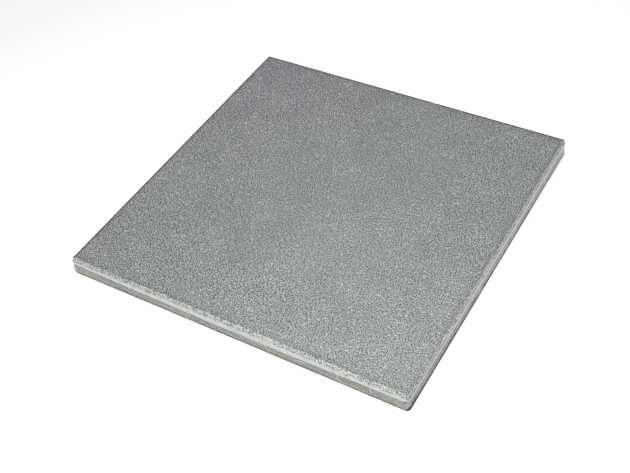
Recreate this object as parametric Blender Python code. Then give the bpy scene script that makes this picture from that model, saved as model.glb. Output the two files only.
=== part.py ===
"""A square stoneware slab with a granite-effect glaze: a hard, level base for tooling and cutting leather.

Metres, +Z up. The slab lies on its underside, with the origin at the centre of that face.
"""

import math

import bmesh
import bpy
from mathutils import Matrix, Vector

# Overall sizes of the finished slab
SIDE = 0.300
THICKNESS = 0.0174

# The pressed outline in plan, and the eased arris round the underside
CORNER_RADIUS = 0.0032
FOOT_EASE = 0.0006

# The steep softened edge between the upright side and the work face
EDGE_RISE = 0.0040
EDGE_INSET = 0.0013
EDGE_ROUNDING = 0.0012

# The two glaze coats, and how far the raw side lies behind the glazed one
FACE_COAT = 0.0006
BASE_COAT = 0.0005
RAW_SIDE_SET_BACK = 0.00025

# Room between coats and body, which touch on the real slab
CLEARANCE = 0.0003

# The line where the base glaze ends on the upright side: how far below the arris it runs,
# how much it tilts towards +X and +Y, and how far it sags halfway along each pair of sides
BORDER_DEPTH = 0.00355
BORDER_TILT_X = 0.00035
BORDER_TILT_Y = -0.00050
BORDER_SAG_Y_SIDES = 0.0024
BORDER_SAG_X_SIDES = 0.0005

# How finely the outline and the roundings are divided
STEPS_PER_SIDE = 18
STEPS_PER_CORNER = 6
STEPS_PER_ROUNDING = 4
WELD = 1e-6

# The arris where the upright side turns into the softened edge, and that edge's slope
ARRIS_HEIGHT = THICKNESS - EDGE_RISE
EDGE_SLOPE = math.atan2(EDGE_RISE, EDGE_INSET)
BORDER_HEIGHT = ARRIS_HEIGHT - BORDER_DEPTH


def clear_scene():
    for old in list(bpy.data.objects):
        bpy.data.objects.remove(old, do_unlink=True)


def arc(centre, radius, start, end):
    """Profile points round a centre. Each angle is the surface's slant, from level outwards to straight up."""
    inset, height = centre
    angles = [start + (end - start) * step / STEPS_PER_ROUNDING for step in range(STEPS_PER_ROUNDING + 1)]
    return [(inset - radius * math.cos(angle), height + radius * math.sin(angle)) for angle in angles]


def edge_inset(depth, height):
    """How far in from the side the softened edge lies at a height, this deep under its surface."""
    return (depth + (height - ARRIS_HEIGHT) * math.cos(EDGE_SLOPE)) / math.sin(EDGE_SLOPE)


def softened_edge(depth, bottom):
    """The profile this deep under the finished surface, from the work face out and down to a height."""
    radius = EDGE_ROUNDING - depth
    if radius > WELD:
        height = THICKNESS - EDGE_ROUNDING
        centre = (edge_inset(EDGE_ROUNDING, height), height)
        top = arc(centre, radius, math.pi / 2, math.pi / 2 - EDGE_SLOPE)
    else:
        top = [(edge_inset(depth, THICKNESS - depth), THICKNESS - depth)]
    return top + [(edge_inset(depth, bottom), bottom)]


def spun(bm, wire, **turn):
    return bmesh.ops.spin(bm, geom=wire, axis=(0, 0, 1), **turn)["geom_last"]


def swept_round(profile):
    """Sweeps a profile of (inset, height) points round the slab's outline and fills both its ends."""
    bm = bmesh.new()
    centre = SIDE / 2 - CORNER_RADIUS
    points = [bm.verts.new((SIDE / 2 - inset, -centre, height)) for inset, height in profile]
    wire = points + [bm.edges.new(pair) for pair in zip(points, points[1:])]
    for quarter in range(4):
        turn = Matrix.Rotation(quarter * math.pi / 2, 3, "Z")
        step_along = turn @ Vector((0, 2 * centre / STEPS_PER_SIDE, 0))
        wire = spun(bm, wire, dvec=step_along, steps=STEPS_PER_SIDE)
        corner = turn @ Vector((centre, centre, 0))
        wire = spun(bm, wire, cent=corner, angle=math.pi / 2, steps=STEPS_PER_CORNER)
    bmesh.ops.remove_doubles(bm, verts=bm.verts, dist=WELD)
    bmesh.ops.holes_fill(bm, edges=[edge for edge in bm.edges if edge.is_boundary], sides=0)
    bmesh.ops.recalc_face_normals(bm, faces=bm.faces)
    return bm


def follow_border(bm, height):
    """Bends the ring of points at this height to the uneven line where the base glaze ends."""
    for vert in bm.verts:
        if abs(vert.co.z - height) < WELD:
            across = vert.co.x / (SIDE / 2)
            back = vert.co.y / (SIDE / 2)
            sag = BORDER_SAG_Y_SIDES * (1 - across**2) + BORDER_SAG_X_SIDES * (1 - back**2)
            vert.co.z += BORDER_TILT_X * across + BORDER_TILT_Y * back - sag


def material(name, colour, roughness):
    made = bpy.data.materials.new(name)
    made.diffuse_color = (*colour, 1)
    made.use_nodes = True
    shader = made.node_tree.nodes["Principled BSDF"]
    shader.inputs["Base Color"].default_value = (*colour, 1)
    shader.inputs["Roughness"].default_value = roughness
    shader.inputs["Metallic"].default_value = 0
    return made


def add_piece(name, bm, finish):
    mesh = bpy.data.meshes.new(name)
    bm.to_mesh(mesh)
    bm.free()
    mesh.shade_smooth()
    mesh.set_sharp_from_angle(angle=math.radians(25))
    mesh.materials.append(finish)
    bpy.context.scene.collection.objects.link(bpy.data.objects.new(name, mesh))


def stoneware_body():
    """The pressed and fired core: a raw side below, and above it a rebate and shoulder under the coats."""
    shoulder = ARRIS_HEIGHT - BASE_COAT - 2 * CLEARANCE
    rebate = BASE_COAT + CLEARANCE
    ledge = BORDER_HEIGHT - CLEARANCE
    profile = softened_edge(FACE_COAT + BASE_COAT + 2 * CLEARANCE, shoulder)
    profile += [(rebate, shoulder), (rebate, ledge), (RAW_SIDE_SET_BACK, ledge)]
    profile += arc((RAW_SIDE_SET_BACK + FOOT_EASE, FOOT_EASE), FOOT_EASE, 0, -math.pi / 2)
    bm = swept_round(profile)
    follow_border(bm, ledge)
    add_piece("stoneware_body", bm, material("raw_stoneware", (0.36, 0.37, 0.31), 0.75))


def base_glaze():
    """The pale coat under the speckled one. Its lower part shows as a smooth band round the side."""
    seat = ARRIS_HEIGHT - CLEARANCE
    under_seat = seat - BASE_COAT
    outside = softened_edge(FACE_COAT + CLEARANCE, seat) + [(0, seat), (0, BORDER_HEIGHT)]
    inside = softened_edge(FACE_COAT + CLEARANCE + BASE_COAT, under_seat)
    inside += [(BASE_COAT, under_seat), (BASE_COAT, BORDER_HEIGHT)]
    bm = swept_round(outside + inside[::-1])
    follow_border(bm, BORDER_HEIGHT)
    add_piece("base_glaze", bm, material("pale_glaze", (0.62, 0.66, 0.69), 0.35))


def speckled_glaze():
    """The granite-effect coat on the work face, brought down over the softened edge to the arris."""
    outside = softened_edge(0, ARRIS_HEIGHT)
    inside = softened_edge(FACE_COAT, ARRIS_HEIGHT)
    bm = swept_round(outside + inside[::-1])
    add_piece("speckled_glaze", bm, material("granite_effect_glaze", (0.31, 0.32, 0.33), 0.45))


clear_scene()
stoneware_body()
base_glaze()
speckled_glaze()
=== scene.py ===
import math

import bmesh
import bpy
from mathutils import Matrix, Quaternion, Vector, noise


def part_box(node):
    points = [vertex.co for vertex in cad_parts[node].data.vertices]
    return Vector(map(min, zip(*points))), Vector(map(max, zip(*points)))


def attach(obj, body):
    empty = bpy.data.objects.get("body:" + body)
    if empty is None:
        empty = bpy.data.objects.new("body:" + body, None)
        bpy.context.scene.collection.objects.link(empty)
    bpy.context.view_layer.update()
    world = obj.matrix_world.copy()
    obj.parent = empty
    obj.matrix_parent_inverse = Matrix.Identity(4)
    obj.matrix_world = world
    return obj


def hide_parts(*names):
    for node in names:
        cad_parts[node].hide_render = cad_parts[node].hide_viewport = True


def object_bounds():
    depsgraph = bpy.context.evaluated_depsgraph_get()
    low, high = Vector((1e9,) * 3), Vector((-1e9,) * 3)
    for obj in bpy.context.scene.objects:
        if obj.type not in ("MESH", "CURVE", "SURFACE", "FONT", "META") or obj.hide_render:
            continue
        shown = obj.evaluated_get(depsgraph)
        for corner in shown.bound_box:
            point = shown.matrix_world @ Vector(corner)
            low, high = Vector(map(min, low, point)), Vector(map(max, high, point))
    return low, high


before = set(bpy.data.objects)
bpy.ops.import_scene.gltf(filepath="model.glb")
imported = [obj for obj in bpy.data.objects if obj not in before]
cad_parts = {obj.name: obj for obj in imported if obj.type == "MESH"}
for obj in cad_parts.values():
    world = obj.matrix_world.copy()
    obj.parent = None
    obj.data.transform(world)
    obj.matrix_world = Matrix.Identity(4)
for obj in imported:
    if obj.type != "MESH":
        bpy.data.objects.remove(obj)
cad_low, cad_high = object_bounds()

# ---------------------------------------------------------------- Camera
# A short telephoto held about 85 cm away above the front right corner, a little off level, so that the
# work face and two sides show.

CAMERA_AZIMUTH = math.radians(34.55)
CAMERA_ELEVATION = math.radians(45.17)
CAMERA_ROLL = math.radians(-6.28)
CAMERA_DISTANCE = 0.8469
CAMERA_SLIDE_RIGHT = -0.01077
CAMERA_SLIDE_UP = -0.02097
CAMERA_LENS = 57.88

back = Vector((
    math.sin(CAMERA_AZIMUTH) * math.cos(CAMERA_ELEVATION),
    -math.cos(CAMERA_AZIMUTH) * math.cos(CAMERA_ELEVATION),
    math.sin(CAMERA_ELEVATION),
))
aim = back.to_track_quat("Z", "Y") @ Quaternion((0, 0, 1), CAMERA_ROLL)
camera_data = bpy.data.cameras.new("camera")
camera_data.sensor_width = 36
camera_data.lens = CAMERA_LENS
camera_data.clip_start = 0.01
camera = bpy.data.objects.new("camera", camera_data)
camera.rotation_mode = "QUATERNION"
camera.rotation_quaternion = aim
camera.location = back * CAMERA_DISTANCE + aim @ Vector((CAMERA_SLIDE_RIGHT, CAMERA_SLIDE_UP, 0))
bpy.context.scene.collection.objects.link(camera)
bpy.context.scene.camera = camera

# ---------------------------------------------------------------- Raw stoneware body
# The pressed and fired core. Its sides below the glaze line stay bare: a matt olive-beige clay with
# fine level streaks from the press, a few pits, and an eased arris that the kiln shelf left uneven.

SIDE = cad_high.x - cad_low.x
THICKNESS = cad_high.z - cad_low.z
CORNER_RADIUS = 0.0032
FOOT_EASE = 0.0005
EDGE_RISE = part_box("speckled_glaze")[1].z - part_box("speckled_glaze")[0].z
EDGE_INSET = 0.0013
EDGE_ROUNDING = 0.0012
ARRIS_HEIGHT = THICKNESS - EDGE_RISE
EDGE_SLOPE = math.atan2(EDGE_RISE, EDGE_INSET)
RAW_SIDE_SET_BACK = 0.00015
BODY_DEPTH = 0.0005
BODY_ROWS = 16
STREAK_DEPTH = 0.00004
STREAKS_PER_METRE_ALONG = 40
STREAKS_PER_METRE_UP = 700
FOOT_WEAR_REACH = 0.002
FOOT_WEAR_DEPTH = 0.00022
FOOT_WEAR_PER_METRE = 160
FOOT_CRUMBS_PER_METRE = 520

# The line where the base glaze ends: how far below the arris it runs, how much it tilts and sags, and
# how much higher it stands on the right side and at the front's left end
BORDER_DEPTH = 0.00355
BORDER_TILT_X = 0.00035
BORDER_TILT_Y = -0.0005
BORDER_SAG_Y_SIDES = 0.0024
BORDER_SAG_X_SIDES = 0.0005
BORDER_RISE_RIGHT = 0.0008
BORDER_RISE = 0.00015
BORDER_RISE_TILT = -0.0003

BORDER_WAVE = 0.00035
BORDER_WAVES_PER_METRE = 55
BORDER_RIPPLE = 0.00022
BORDER_RIPPLES_PER_METRE = 230

# How square each corner is in plan: 2 is round. The front right one is worn
CORNER_SQUARENESS = 9
WORN_CORNER_SQUARENESS = 2.2

# How finely the outline and the roundings are divided
STEPS_PER_SIDE = 300
STEPS_PER_CORNER = 8
STEPS_PER_ROUNDING = 6
STEPS_PER_FOOT = 5
WELD = 1e-6


def arc(centre, radius, start, end, steps):
    """Profile points round a centre. Each angle is the surface's slant, level outwards to straight up."""
    inset, height = centre
    angles = [start + (end - start) * step / steps for step in range(steps + 1)]
    return [(inset - radius * math.cos(angle), height + radius * math.sin(angle)) for angle in angles]


def edge_inset(depth, height):
    """How far in from the side the softened edge lies at a height, this deep under its surface."""
    return (depth + (height - ARRIS_HEIGHT) * math.cos(EDGE_SLOPE)) / math.sin(EDGE_SLOPE)


def softened_edge(depth, bottom, rows):
    """The profile this deep under the work face, out over its rounding and down the slope to a height."""
    height = THICKNESS - EDGE_ROUNDING
    centre = (edge_inset(EDGE_ROUNDING, height), height)
    profile = arc(centre, EDGE_ROUNDING - depth, math.pi / 2, math.pi / 2 - EDGE_SLOPE, STEPS_PER_ROUNDING)
    start = profile[-1][1]
    for row in range(1, rows + 1):
        level = start + (bottom - start) * row / rows
        profile.append((edge_inset(depth, level), level))
    return profile


def spun(bm, wire, **turn):
    return bmesh.ops.spin(bm, geom=wire, axis=(0, 0, 1), **turn)["geom_last"]


def swept_round(profile):
    """Sweeps a profile of (inset, height) points round the slab's outline and fills both its ends."""
    bm = bmesh.new()
    centre = SIDE / 2 - CORNER_RADIUS
    points = [bm.verts.new((SIDE / 2 - inset, -centre, height)) for inset, height in profile]
    wire = points + [bm.edges.new(pair) for pair in zip(points, points[1:])]
    wire = spun(bm, wire, dvec=(0, 2 * centre / STEPS_PER_SIDE, 0), steps=STEPS_PER_SIDE)
    spun(bm, wire, cent=(centre, centre, 0), angle=math.pi / 2, steps=STEPS_PER_CORNER)
    quarter = bm.verts[:] + bm.edges[:] + bm.faces[:]
    spun(bm, quarter, angle=1.5 * math.pi, steps=3, use_duplicate=True)
    bmesh.ops.remove_doubles(bm, verts=bm.verts, dist=WELD)
    bmesh.ops.holes_fill(bm, edges=[edge for edge in bm.edges if edge.is_boundary], sides=0)
    bmesh.ops.recalc_face_normals(bm, faces=bm.faces)
    for vert in bm.verts:
        square_up(vert)
    return bm


def square_up(vert):
    """Draws a point near a corner of the plan outwards, towards the nearly square corner of the mould."""
    reach = SIDE / 2 - CORNER_RADIUS
    across = max(0.0, abs(vert.co.x) - reach)
    along = max(0.0, abs(vert.co.y) - reach)
    if across and along:
        front_right = vert.co.x > 0 > vert.co.y
        power = WORN_CORNER_SQUARENESS if front_right else CORNER_SQUARENESS
        grown = math.hypot(across, along) / (across**power + along**power) ** (1 / power)
        vert.co.x = math.copysign(reach + across * grown, vert.co.x)
        vert.co.y = math.copysign(reach + along * grown, vert.co.y)


def outward(place):
    """The level direction out of the slab's side at a place on it."""
    reach = SIDE / 2 - CORNER_RADIUS
    nearest = Vector((max(-reach, min(reach, place.x)), max(-reach, min(reach, place.y)), place.z))
    return (place - nearest).normalized()


def border_height(place):
    """The height where the base glaze ends, at a place on the side: its long sag and its fine ripple."""
    across = place.x / (SIDE / 2)
    along = place.y / (SIDE / 2)
    sag = BORDER_SAG_Y_SIDES * (1 - across**2) + BORDER_SAG_X_SIDES * (1 - along**2)
    level = ARRIS_HEIGHT - BORDER_DEPTH + BORDER_TILT_X * across + BORDER_TILT_Y * along - sag
    if place.x > SIDE / 2 - CORNER_RADIUS:
        level += BORDER_RISE_RIGHT + BORDER_RISE_TILT * along
    else:
        level += BORDER_RISE + BORDER_RISE_TILT * across
    ripple = BORDER_WAVE * noise.noise(Vector((place.x, place.y, 0)) * BORDER_WAVES_PER_METRE)
    ripple += BORDER_RIPPLE * noise.noise(Vector((place.x, place.y, 1)) * BORDER_RIPPLES_PER_METRE)
    return level + ripple


def node(tree, kind, feeds=None, **settings):
    """Adds a shader node with its settings, and feeds each input a value or another node's output."""
    made = tree.nodes.new(kind)
    for name, value in settings.items():
        setattr(made, name, value)
    for name, value in (feeds or {}).items():
        if isinstance(value, bpy.types.NodeSocket):
            tree.links.new(value, made.inputs[name])
        else:
            made.inputs[name].default_value = value
    return made


def maths(tree, operation, first, second=0.0):
    return node(tree, "ShaderNodeMath", {0: first, 1: second}, operation=operation).outputs[0]


def blend_colour(tree, share, first, second, kind="MIX"):
    """Two colours mixed by a share from 0 to 1. Sockets 6 and 7 are the Mix node's two colours."""
    made = node(tree, "ShaderNodeMix", {0: share, 6: first, 7: second}, data_type="RGBA", blend_type=kind)
    return made.outputs[2]


def ranged(tree, value, low, high, to_low=0.0, to_high=1.0, smooth=True):
    feeds = {"Value": value, "From Min": low, "From Max": high, "To Min": to_low, "To Max": to_high}
    kind = "SMOOTHSTEP" if smooth else "LINEAR"
    return node(tree, "ShaderNodeMapRange", feeds, interpolation_type=kind).outputs[0]


def ramp(tree, value, stops):
    made = node(tree, "ShaderNodeValToRGB", {0: value})
    bands = made.color_ramp
    while len(bands.elements) < len(stops):
        bands.elements.new(0.5)
    for element, (position, colour) in zip(bands.elements, stops):
        element.position = position
        element.color = (*colour, 1)
    return made.outputs["Color"]


def new_group(name, inputs, outputs):
    """A shader node group with named sockets. Returns it with its two end nodes."""
    group = bpy.data.node_groups.new(name, "ShaderNodeTree")
    for label, kind, default in inputs:
        socket = group.interface.new_socket(label, in_out="INPUT", socket_type=kind)
        if default is not None:
            socket.default_value = default
    for label, kind in outputs:
        group.interface.new_socket(label, in_out="OUTPUT", socket_type=kind)
    return group, node(group, "NodeGroupInput"), node(group, "NodeGroupOutput")


def grouped(tree, group, feeds):
    return node(tree, "ShaderNodeGroup", feeds, node_tree=group).outputs


FLOAT, VECTOR, COLOUR = "NodeSocketFloat", "NodeSocketVector", "NodeSocketColor"


def grain_group(name, dimensions, crowned, specked):
    """Packed grains: each one's tone, a mask of rare bright ones, and how high each stands.

    Crowned is how much of the tone comes from each grain's bright middle and dark rim. Specked is how
    much of the rest comes from the finer grains.
    """
    inputs = [("Vector", VECTOR, None), ("Grains per metre", FLOAT, 800.0), ("Rare share", FLOAT, 0.06)]
    outputs = [("Tone", FLOAT), ("Rare", FLOAT), ("Height", FLOAT)]
    group, given, result = new_group(name, inputs, outputs)
    packed = {"Vector": given.outputs[0], "Scale": given.outputs[1], "Randomness": 0.92}
    coarse = node(group, "ShaderNodeTexVoronoi", packed, voronoi_dimensions=dimensions)
    packed["Scale"] = maths(group, "MULTIPLY", given.outputs[1], 1.9)
    fine = node(group, "ShaderNodeTexVoronoi", packed, voronoi_dimensions=dimensions)
    coarse_tone = node(group, "ShaderNodeSeparateColor", {0: coarse.outputs["Color"]})
    fine_tone = node(group, "ShaderNodeSeparateColor", {0: fine.outputs["Color"]})
    crown = ranged(group, coarse.outputs["Distance"], 0.05, 0.65, 1.0, 0.0, smooth=False)
    own = maths(group, "MULTIPLY", coarse_tone.outputs[0], (1 - crowned) * (1 - specked))
    specks = maths(group, "MULTIPLY", fine_tone.outputs[0], (1 - crowned) * specked)
    tone = maths(group, "ADD", maths(group, "MULTIPLY", crown, crowned), maths(group, "ADD", own, specks))
    group.links.new(tone, result.inputs["Tone"])
    limit = maths(group, "SUBTRACT", 1.0, given.outputs[2])
    group.links.new(maths(group, "GREATER_THAN", coarse_tone.outputs[1], limit), result.inputs["Rare"])
    group.links.new(maths(group, "MULTIPLY", crown, tone), result.inputs["Height"])
    return group


def cloud_group():
    """Slow, cloudy unevenness of a fired surface, from 0 to 1 about a half."""
    inputs = [("Vector", VECTOR, None), ("Clouds per metre", FLOAT, 40.0)]
    group, given, result = new_group("kiln_clouding", inputs, [("Cloud", FLOAT)])
    feeds = {"Vector": given.outputs[0], "Scale": given.outputs[1], "Detail": 3.0, "Roughness": 0.55}
    made = node(group, "ShaderNodeTexNoise", feeds)
    group.links.new(ranged(group, made.outputs[0], 0.3, 0.7), result.inputs["Cloud"])
    return group


def spot_group():
    """A mask for one small mark: strong within its inner radius and fading out to its outer one."""
    inputs = [("Vector", VECTOR, None), ("Middle", VECTOR, None)]
    inputs += [("Inner radius", FLOAT, 0.0006), ("Outer radius", FLOAT, 0.0014)]
    group, given, result = new_group("single_spot", inputs, [("Spot", FLOAT)])
    feeds = {0: given.outputs[0], 1: given.outputs[1]}
    away = node(group, "ShaderNodeVectorMath", feeds, operation="DISTANCE").outputs["Value"]
    spot = ranged(group, away, given.outputs[2], given.outputs[3], 0.85, 0.0)
    group.links.new(spot, result.inputs["Spot"])
    return group


GRAINS = grain_group("mineral_grains", "3D", 0.4, 0.5)
CLOUDING = cloud_group()
SPOT = spot_group()


def new_material(name, ior=1.5):
    """A fired, non-metal material. Returns it with its tree, its shader and its Object coordinates."""
    made = bpy.data.materials.new(name)
    made.use_nodes = True
    tree = made.node_tree
    shader = tree.nodes["Principled BSDF"]
    shader.inputs["Metallic"].default_value = 0.0
    shader.inputs["IOR"].default_value = ior
    place = node(tree, "ShaderNodeTexCoord").outputs["Object"]
    return made, tree, shader, place


def relief(tree, shader, height, distance, strength):
    bump = node(tree, "ShaderNodeBump", {"Height": height, "Distance": distance, "Strength": strength})
    tree.links.new(bump.outputs[0], shader.inputs["Normal"])


def marked(tree, place, colour, middle, inner, outer, tint):
    """Tints a colour around one spot."""
    feeds = {"Vector": place, "Middle": middle, "Inner radius": inner, "Outer radius": outer}
    return blend_colour(tree, grouped(tree, SPOT, feeds)["Spot"], colour, tint)


def clay_material():
    made, tree, shader, place = new_material("raw_stoneware_clay", ior=1.45)
    streaked = node(tree, "ShaderNodeMapping", {"Vector": place, "Scale": (30, 30, 620)}).outputs[0]
    feeds = {"Vector": streaked, "Scale": 1.0, "Detail": 4.0, "Roughness": 0.6}
    streaks = node(tree, "ShaderNodeTexNoise", feeds).outputs[0]
    grain = grouped(tree, GRAINS, {"Vector": place, "Grains per metre": 900.0, "Rare share": 0.04})
    cloud = grouped(tree, CLOUDING, {"Vector": place, "Clouds per metre": 45.0})["Cloud"]
    stops = [(0.3, (0.172, 0.178, 0.160)), (0.5, (0.234, 0.243, 0.221)), (0.7, (0.304, 0.310, 0.281))]
    body = ramp(tree, streaks, stops)
    stops = [(0.15, (0.50, 0.50, 0.47)), (0.5, (1.0, 1.0, 1.0)), (0.85, (1.55, 1.53, 1.42))]
    grained = ramp(tree, grain["Tone"], stops)
    body = blend_colour(tree, 1.0, body, grained, "MULTIPLY")
    body = blend_colour(tree, maths(tree, "MULTIPLY", grain["Rare"], 0.7), body, (0.46, 0.43, 0.30, 1))
    shade = ramp(tree, cloud, [(0.0, (0.9, 0.9, 0.9)), (1.0, (1.08, 1.08, 1.06))])
    body = blend_colour(tree, 1.0, body, shade, "MULTIPLY")
    # Painted shadow: a darker line on the clay just under the glaze, where the rolled lip's shadow falls
    below = node(tree, "ShaderNodeAttribute", attribute_name="below_glaze").outputs["Fac"]
    lip_shadow = ranged(tree, below, 0.0011, 0.0002, 0.0, 0.5)
    body = blend_colour(tree, lip_shadow, body, (0.11, 0.11, 0.088, 1))
    # Painted light: the clay made paler towards the back of the right side and the left of the front,
    # standing in for light the lamps give too little of there
    axes = node(tree, "ShaderNodeSeparateXYZ", {0: place}).outputs
    right = ranged(tree, axes[0], SIDE / 2 - 0.003, SIDE / 2 - 0.0005)
    painted_clay_light = maths(tree, "MULTIPLY", right, ranged(tree, axes[1], -0.1, 0.14))
    painted_clay_light = maths(tree, "MULTIPLY", painted_clay_light, ranged(tree, axes[2], 0.004, 0.009, 1.0, 0.45))
    lit_clay = blend_colour(tree, 1.0, body, (1.46, 1.43, 1.55, 1), "MULTIPLY")
    body = blend_colour(tree, painted_clay_light, body, lit_clay)
    painted_clay_light = ranged(tree, axes[0], -SIDE / 2, -0.03, 0.8, 0.0)
    lit_clay = blend_colour(tree, 1.0, body, (1.08, 1.09, 1.10, 1), "MULTIPLY")
    body = blend_colour(tree, painted_clay_light, body, lit_clay)
    # Painted shadow round the foot where the slab meets the floor, taller on the right side and tallest at
    # its front end
    right_reach = ranged(tree, axes[1], -SIDE / 2, SIDE / 2, 0.0048, 0.0027, smooth=False)
    right_solid = ranged(tree, axes[1], -SIDE / 2, SIDE / 2, 0.0036, 0.0023, smooth=False)
    unevenness = ranged(tree, cloud, 0.0, 1.0, 0.8, 1.2)
    reach = maths(tree, "MULTIPLY", ranged(tree, right, 0.0, 1.0, 0.0018, right_reach), unevenness)
    solid = maths(tree, "MULTIPLY", ranged(tree, right, 0.0, 1.0, 0.0008, right_solid), unevenness)
    foot_shadow = ranged(tree, axes[2], solid, reach, 0.95, 0.0)
    across = maths(tree, "ABSOLUTE", axes[0])
    along = maths(tree, "ABSOLUTE", axes[1])
    outer = ranged(tree, maths(tree, "MAXIMUM", across, along), SIDE / 2 - 0.0016, SIDE / 2 - 0.0008)
    body = blend_colour(tree, maths(tree, "MULTIPLY", foot_shadow, outer), body, (0.016, 0.0165, 0.014, 1))
    # A painted shadow at the foot of the right side near the front corner, and a dark spot beside the pit
    # in the front
    corner_foot_shadow = (SIDE / 2, -SIDE / 2 + 0.008, 0.0012)
    body = marked(tree, place, body, corner_foot_shadow, 0.0025, 0.0080, (0.012, 0.012, 0.011, 1))
    spot = (SIDE / 2 - 0.0035, -SIDE / 2, 0.0095)
    body = marked(tree, place, body, spot, 0.0006, 0.0014, (0.03, 0.03, 0.025, 1))
    tree.links.new(body, shader.inputs["Base Color"])
    rough = ranged(tree, grain["Tone"], 0.0, 1.0, 0.62, 0.9, smooth=False)
    tree.links.new(rough, shader.inputs["Roughness"])
    height = maths(tree, "ADD", maths(tree, "MULTIPLY", streaks, 1.5), grain["Height"])
    relief(tree, shader, height, 0.00012, 0.6)
    return made


def finish_piece(name, bm, finish, stands_for):
    """Makes the mesh's object, gives it its material, and places it in the frame."""
    mesh = bpy.data.meshes.new(name)
    bm.to_mesh(mesh)
    bm.free()
    mesh.shade_smooth()
    mesh.set_sharp_from_angle(angle=math.radians(40))
    mesh.materials.append(finish)
    piece = bpy.data.objects.new(name, mesh)
    bpy.context.scene.collection.objects.link(piece)
    if stands_for:
        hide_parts(stands_for)
    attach(piece, "root")


# Each pit: its middle, its radius and its depth
PITS = [
    (Vector((-0.102, -SIDE / 2, 0.0052)), 0.0009, 0.0007),
    (Vector((SIDE / 2 - 0.0022, -SIDE / 2, 0.0098)), 0.0012, 0.0007),
    (Vector((0.061, SIDE / 2, 0.0041)), 0.0009, 0.0006),
    (Vector((-SIDE / 2, 0.036, 0.0063)), 0.0008, 0.0006),
]


def raw_body():
    profile = softened_edge(BODY_DEPTH, ARRIS_HEIGHT, 1)
    for row in range(BODY_ROWS + 1):
        profile.append((RAW_SIDE_SET_BACK, ARRIS_HEIGHT + (FOOT_EASE - ARRIS_HEIGHT) * row / BODY_ROWS))
    foot_centre = (RAW_SIDE_SET_BACK + FOOT_EASE, FOOT_EASE)
    profile += arc(foot_centre, FOOT_EASE, 0, -math.pi / 2, STEPS_PER_FOOT)[1:]
    bm = swept_round(profile)
    below = bm.verts.layers.float.new("below_glaze")
    for vert in bm.verts:
        place = vert.co.copy()
        if place.z > ARRIS_HEIGHT:
            continue
        out = outward(place)
        vert[below] = border_height(place) - place.z
        if place.z > WELD:
            along = place * STREAKS_PER_METRE_ALONG
            streak = noise.noise(Vector((along.x, along.y, place.z * STREAKS_PER_METRE_UP)))
            vert.co += out * STREAK_DEPTH * (streak - 1)
            foot = max(0.0, 1 - place.z / FOOT_WEAR_REACH)
            wear = noise.noise(place * FOOT_WEAR_PER_METRE)
            wear += 0.6 * noise.noise(place * FOOT_CRUMBS_PER_METRE)
            vert.co -= out * FOOT_WEAR_DEPTH * foot * max(0.0, wear)
            for centre, radius, depth in PITS:
                near = (place - centre).length / radius
                if near < 1:
                    vert.co -= out * depth * (1 - near**2)
    finish_piece("raw_body", bm, clay_material(), "stoneware_body")


raw_body()

# ---------------------------------------------------------------- Base glaze
# A pale, smooth coat laid over the face and drawn down the upper side. It ends in a soft rolled lip,
# lower at the middle of the front and back than at the corners. A few thin runs crossed the bare clay.

BASE_DEPTH = 0.00022
BAND_INSET = 0.00005
BAND_ROOT = 0.00032
BAND_ROWS = 6
BAND_TOP = ARRIS_HEIGHT - 0.0001
BAND_SEAT = ARRIS_HEIGHT - 0.0006
BASE_INSIDE_DEPTH = 0.00045

# The rolled lip: where it starts above the coat's lower edge, then how far in from the side and how
# far above that edge each point of it lies
LIP_START = 0.0012
LIP_POINTS = [(0.00002, 0.0008), (0.00001, 0.0004), (0.00007, 0.00015), (0.0002, 0.0)]


def right_side_shade_group():
    """Painted shade: a colour made a little darker and duller on the slab's right side, which faces away
    from the light.
    """
    inputs = [("Vector", VECTOR, None), ("Colour", COLOUR, None)]
    group, given, result = new_group("right_side_painted_shade", inputs, [("Colour", COLOUR)])
    across = node(group, "ShaderNodeSeparateXYZ", {0: given.outputs[0]}).outputs[0]
    right = ranged(group, across, SIDE / 2 - 0.0032, SIDE / 2 - 0.0006)
    shaded_colour = blend_colour(group, 1.0, given.outputs[1], (0.78, 0.785, 0.84, 1), "MULTIPLY")
    group.links.new(blend_colour(group, right, given.outputs[1], shaded_colour), result.inputs["Colour"])
    return group


RIGHT_SIDE_SHADE = right_side_shade_group()


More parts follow.
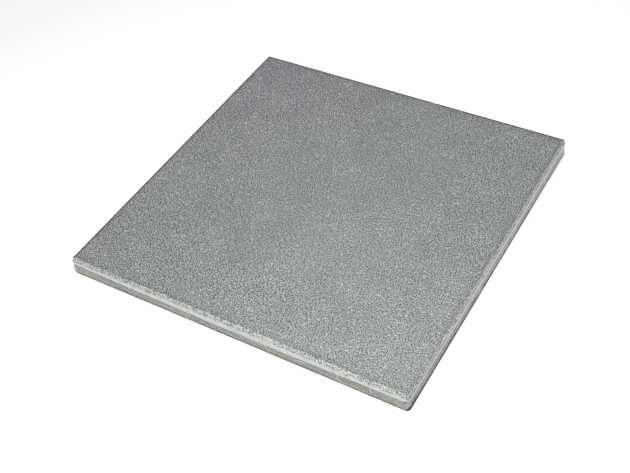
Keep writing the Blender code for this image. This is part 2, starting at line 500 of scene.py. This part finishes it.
def pale_glaze_material():
    made, tree, shader, place = new_material("pale_base_glaze")
    drawn = node(tree, "ShaderNodeMapping", {"Vector": place, "Scale": (160, 160, 45)}).outputs[0]
    feeds = {"Vector": drawn, "Scale": 1.0, "Detail": 3.0, "Roughness": 0.5}
    flow = node(tree, "ShaderNodeTexNoise", feeds).outputs[0]
    grain = grouped(tree, GRAINS, {"Vector": place, "Grains per metre": 1100.0, "Rare share": 0.03})
    cloud = grouped(tree, CLOUDING, {"Vector": place, "Clouds per metre": 60.0})["Cloud"]
    stops = [(0.3, (0.315, 0.342, 0.362)), (0.5, (0.368, 0.398, 0.416)), (0.7, (0.418, 0.445, 0.458))]
    colour = ramp(tree, flow, stops)
    stops = [(0.0, (0.9, 0.9, 0.9)), (0.5, (1.0, 1.0, 1.0)), (1.0, (1.07, 1.07, 1.07))]
    grained = ramp(tree, grain["Tone"], stops)
    colour = blend_colour(tree, 1.0, colour, grained, "MULTIPLY")
    shade = ramp(tree, cloud, [(0.0, (0.94, 0.95, 0.95)), (1.0, (1.04, 1.04, 1.04))])
    colour = blend_colour(tree, 1.0, colour, shade, "MULTIPLY")
    # Painted light: paler at the front's left end and towards the back, standing in for the way the light
    # falls along the sides
    axes = node(tree, "ShaderNodeSeparateXYZ", {0: place}).outputs
    painted_glaze_light = ranged(tree, axes[0], -0.14, 0.0, 1.07, 0.95)
    painted_glaze_light = maths(tree, "MULTIPLY", painted_glaze_light, ranged(tree, axes[1], -0.05, 0.12, 1.0, 1.08))
    painted_glaze_light = node(tree, "ShaderNodeCombineColor", {0: painted_glaze_light, 1: painted_glaze_light, 2: painted_glaze_light}).outputs[0]
    colour = blend_colour(tree, 1.0, colour, painted_glaze_light, "MULTIPLY")
    colour = grouped(tree, RIGHT_SIDE_SHADE, {"Vector": place, "Colour": colour})["Colour"]
    tree.links.new(colour, shader.inputs["Base Color"])
    tree.links.new(ranged(tree, cloud, 0.0, 1.0, 0.24, 0.38, smooth=False), shader.inputs["Roughness"])
    relief(tree, shader, flow, 0.00012, 0.5)
    return made


PALE_GLAZE = pale_glaze_material()


def base_coat():
    outside = softened_edge(BASE_DEPTH, BAND_TOP, 1)
    lip = ARRIS_HEIGHT - BORDER_DEPTH
    for row in range(BAND_ROWS + 1):
        outside.append((BAND_INSET, BAND_TOP + (lip + LIP_START - ARRIS_HEIGHT) * row / BAND_ROWS))
    outside += [(inset, lip + rise) for inset, rise in LIP_POINTS]
    inside = [(BAND_ROOT, lip), (BAND_ROOT, BAND_SEAT)]
    inside += softened_edge(BASE_INSIDE_DEPTH, ARRIS_HEIGHT, 1)[::-1]
    bm = swept_round(outside + inside)
    for vert in bm.verts:
        if vert.co.z < BAND_TOP - WELD:
            drawn = (BAND_TOP - border_height(vert.co)) / (BAND_TOP - lip)
            vert.co.z = BAND_TOP - (BAND_TOP - vert.co.z) * drawn
    finish_piece("base_glaze_coat", bm, PALE_GLAZE, "base_glaze")


base_coat()

# ---------------------------------------------------------------- Glaze runs
# Thin tears of the same pale glaze that ran or were wiped across the bare clay below the lip. They
# were fired on with the coat and stand a tenth of a millimetre proud of the clay.

# Each run: which side, its place along it, its highest and lowest point, its width and its lean
RUNS = [
    ("front", -0.0388, 0.0036, 0.0004, 0.0016, 0.0008),
    ("front", 0.0325, 0.0086, 0.0062, 0.0012, 0.0003),
    ("front", 0.0440, 0.0088, 0.0067, 0.0011, -0.0002),
    ("front", 0.0935, 0.0102, 0.0003, 0.0014, 0.0026),
    ("front", 0.1200, 0.0106, 0.0016, 0.0013, 0.0016),
    ("right", -0.0310, 0.0104, 0.0012, 0.0016, 0.0010),
    ("right", -0.0665, 0.0106, 0.0040, 0.0012, -0.0004),
    ("back", 0.0710, 0.0090, 0.0035, 0.0013, 0.0006),
    ("left", -0.0840, 0.0098, 0.0022, 0.0014, 0.0010),
]
RUN_PROUD = 0.00012
RUN_SUNK = 0.00004
RUN_SEGMENTS = 14
SIDE_TURNS = {"front": 0, "right": 1, "back": 2, "left": 3}


def glaze_runs():
    bm = bmesh.new()
    for side, along, top, bottom, width, lean in RUNS:
        drop = bmesh.ops.create_uvsphere(bm, u_segments=RUN_SEGMENTS, v_segments=RUN_SEGMENTS, radius=1)
        grown = drop["verts"]
        half = (top - bottom) / 2
        for vert in grown:
            level = vert.co.z
            waver = 0.25 * width * math.sin(level * 3.1 + along * 400)
            narrow = width / 2 * (0.75 + 0.35 * math.sin(level * 4.3 + along * 900))
            vert.co.x = along + vert.co.x * narrow - lean / 2 * level + waver
            vert.co.y = -SIDE / 2 + RAW_SIDE_SET_BACK + RUN_SUNK + vert.co.y * (RUN_PROUD + RUN_SUNK)
            vert.co.z = (top + bottom) / 2 + level * half
        turn = Matrix.Rotation(SIDE_TURNS[side] * math.pi / 2, 3, "Z")
        bmesh.ops.rotate(bm, verts=grown, cent=(0, 0, 0), matrix=turn)
    bmesh.ops.recalc_face_normals(bm, faces=bm.faces)
    finish_piece("glaze_runs", bm, PALE_GLAZE, None)


glaze_runs()

# ---------------------------------------------------------------- Speckled glaze
# The granite-effect coat: fused grey, white and dark grains on the work face. It thins where it turns
# over the softened edge, so that the pale coat shows between its grains there.

GRANITE_DEPTH = 0.0002
FACE_FLAT_INSET = 0.0028
COAT_ROWS = 5
COAT_LIP = 0.00008
COAT_LIP_START = 0.0002

# The coat's lower lip: how far in from the side and how far above the arris each point of it lies
COAT_LIP_POINTS = [(0.00002, 0.00005), (COAT_LIP, -COAT_LIP), (GRANITE_DEPTH, -COAT_LIP)]

# How far in from the side the painted shade on the face starts to darken it towards its edge, and where it
# stops
RIM_SHADE_FROM = 0.002
RIM_SHADE_TO = 0.008

FACE_GRAINS = grain_group("face_grains", "2D", 0.75, 0.85)


def granite_material():
    made, tree, shader, place = new_material("granite_effect_glaze")
    feeds = {"Vector": place, "Grains per metre": 920.0, "Rare share": 0.03}
    face_grain = grouped(tree, FACE_GRAINS, feeds)
    feeds = {"Vector": place, "Grains per metre": 1150.0, "Rare share": 0.03}
    grain = grouped(tree, GRAINS, feeds)
    cloud = grouped(tree, CLOUDING, {"Vector": place, "Clouds per metre": 38.0})["Cloud"]
    stops = [(0.12, (0.018, 0.019, 0.021)), (0.32, (0.075, 0.079, 0.082)), (0.5, (0.155, 0.164, 0.167)),
             (0.68, (0.259, 0.273, 0.274)), (0.95, (0.53, 0.545, 0.52))]
    face = ramp(tree, face_grain["Tone"], stops)
    bright = maths(tree, "MULTIPLY", face_grain["Rare"], 0.35)
    face = blend_colour(tree, bright, face, (0.60, 0.61, 0.57, 1))
    shade = ramp(tree, cloud, [(0.0, (0.92, 0.925, 0.93)), (1.0, (1.06, 1.06, 1.05))])
    face = blend_colour(tree, 1.0, face, shade, "MULTIPLY")
    # Painted light: a slow drift over the face stands in for the tint of the light falling across it,
    # bluer at the back left corner, warmer and calmer at the front right
    back_corner = (-SIDE / 2, SIDE / 2, THICKNESS)
    away = node(tree, "ShaderNodeVectorMath", {0: place, 1: back_corner}, operation="DISTANCE")
    away = away.outputs["Value"]
    calm = ranged(tree, away, 0.22, 0.42, 0.0, 0.22)
    face = blend_colour(tree, calm, face, (0.17, 0.179, 0.181, 1))
    stops = [(0.0, (1.035, 1.0, 1.06)), (0.36, (1.006, 1.02, 1.032)), (1.0, (1.03, 1.034, 1.01))]
    painted_light_tint = ramp(tree, ranged(tree, away, 0.03, 0.42, smooth=False), stops)
    face = blend_colour(tree, 1.0, face, painted_light_tint, "MULTIPLY")
    # Painted shade: a little darker just inside the edge, where the face curves over towards it
    axes = node(tree, "ShaderNodeSeparateXYZ", {0: place}).outputs
    across = maths(tree, "ABSOLUTE", axes[0])
    along = maths(tree, "ABSOLUTE", axes[1])
    from_side = maths(tree, "SUBTRACT", SIDE / 2, maths(tree, "MAXIMUM", across, along))
    rim = ranged(tree, from_side, RIM_SHADE_FROM, RIM_SHADE_TO, 0.84, 1.0)
    darker = node(tree, "ShaderNodeCombineColor", {0: rim, 1: rim, 2: rim}).outputs[0]
    face = blend_colour(tree, 1.0, face, darker, "MULTIPLY")
    # Thin over the softened edge, with the pale coat between the grains, and one ochre speck
    thin = ranged(tree, axes[2], THICKNESS - 0.0004, THICKNESS - 0.00003, 1.0, 0.0)
    spots = ranged(tree, grain["Tone"], 0.30, 0.46)
    over_edge = blend_colour(tree, spots, (0.065, 0.068, 0.066, 1), (0.43, 0.445, 0.435, 1))
    ochre = (0.36, 0.26, 0.12, 1)
    over_edge = marked(tree, place, over_edge, (-0.116, -SIDE / 2, 0.0159), 0.0006, 0.0014, ochre)
    over_edge = grouped(tree, RIGHT_SIDE_SHADE, {"Vector": place, "Colour": over_edge})["Colour"]
    colour = blend_colour(tree, thin, face, over_edge)
    # Painted shade: a dark line along the back and left edges of the face, where their rounding turns away
    # from the light
    behind = maths(tree, "MAXIMUM", axes[1], maths(tree, "MULTIPLY", axes[0], -1.0))
    line = ranged(tree, behind, SIDE / 2 - 0.0035, SIDE / 2 - 0.0024)
    high = ranged(tree, axes[2], THICKNESS - 0.0008, THICKNESS - 0.0005)
    line = maths(tree, "MULTIPLY", line, high)
    colour = blend_colour(tree, maths(tree, "MULTIPLY", line, 0.92), colour, (0.012, 0.0122, 0.0125, 1))
    tree.links.new(colour, shader.inputs["Base Color"])
    rough = ranged(tree, face_grain["Tone"], 0.0, 1.0, 0.55, 0.36, smooth=False)
    tree.links.new(rough, shader.inputs["Roughness"])
    height = node(tree, "ShaderNodeMix", {0: thin, 2: face_grain["Height"], 3: grain["Height"]}).outputs[0]
    relief(tree, shader, height, 0.00018, 0.5)
    return made


# A small chip in the back edge
CHIP = Vector((0.0272, SIDE / 2 - 0.0012, THICKNESS))
CHIP_RADIUS = 0.0019
CHIP_DEPTH = 0.0007


def speckled_coat():
    profile = [(FACE_FLAT_INSET, THICKNESS)]
    profile += softened_edge(0, ARRIS_HEIGHT + COAT_LIP_START, COAT_ROWS)
    profile += [(inset, ARRIS_HEIGHT + rise) for inset, rise in COAT_LIP_POINTS]
    profile += softened_edge(GRANITE_DEPTH, ARRIS_HEIGHT, 1)[::-1]
    bm = swept_round(profile)
    for vert in bm.verts:
        near = (vert.co - CHIP).length / CHIP_RADIUS
        if near < 1:
            vert.co -= (outward(vert.co) + Vector((0, 0, 1))) * CHIP_DEPTH / 2 * (1 - near**2)
    finish_piece("speckled_face_coat", bm, granite_material(), "speckled_glaze")


speckled_coat()

# ---------------------------------------------------------------- Floor and light
# A plain pale floor just under the slab, a broad low soft light from the front, a soft lamp over the
# front right corner, and an even fill.

FLOOR_HALF_SIZE = 6
FLOOR_GAP = 0.00005


def plain_floor():
    bm = bmesh.new()
    below = Matrix.Translation((0, 0, -FLOOR_GAP))
    bmesh.ops.create_grid(bm, x_segments=1, y_segments=1, size=FLOOR_HALF_SIZE, matrix=below)
    mesh = bpy.data.meshes.new("floor")
    bm.to_mesh(mesh)
    bm.free()
    made, _, shader, _ = new_material("pale_floor")
    shader.inputs["Base Color"].default_value = (0.93, 0.93, 0.93, 1)
    shader.inputs["Roughness"].default_value = 0.9
    mesh.materials.append(made)
    floor = bpy.data.objects.new("floor", mesh)
    bpy.context.scene.collection.objects.link(floor)


def soft_light(name, azimuth, elevation, distance, size, power, colour, target=(0, 0, 0)):
    data = bpy.data.lights.new(name, "AREA")
    data.shape = "SQUARE"
    data.size = size
    data.energy = power
    data.color = colour
    lamp = bpy.data.objects.new(name, data)
    azimuth, elevation = math.radians(azimuth), math.radians(elevation)
    flat = math.cos(elevation)
    towards = Vector((math.sin(azimuth) * flat, -math.cos(azimuth) * flat, math.sin(elevation)))
    lamp.location = Vector(target) + towards * distance
    lamp.rotation_mode = "QUATERNION"
    lamp.rotation_quaternion = towards.to_track_quat("Z", "Y")
    bpy.context.scene.collection.objects.link(lamp)


plain_floor()
soft_light("wide_key", azimuth=22, elevation=20, distance=2.5, size=1.0, power=12.6,
           colour=(1.0, 1.0, 0.98))
soft_light("overhead", azimuth=0, elevation=90, distance=0.5, size=0.3, power=3.35,
           colour=(1.0, 1.0, 0.94), target=(0.126, -0.153, 0))
world = bpy.data.worlds.new("studio")
world.use_nodes = True
world.node_tree.nodes["Background"].inputs["Color"].default_value = (0.985, 0.965, 1.0, 1)
world.node_tree.nodes["Background"].inputs["Strength"].default_value = 0.77
bpy.context.scene.world = world
bpy.context.scene.view_settings.view_transform = "Standard"
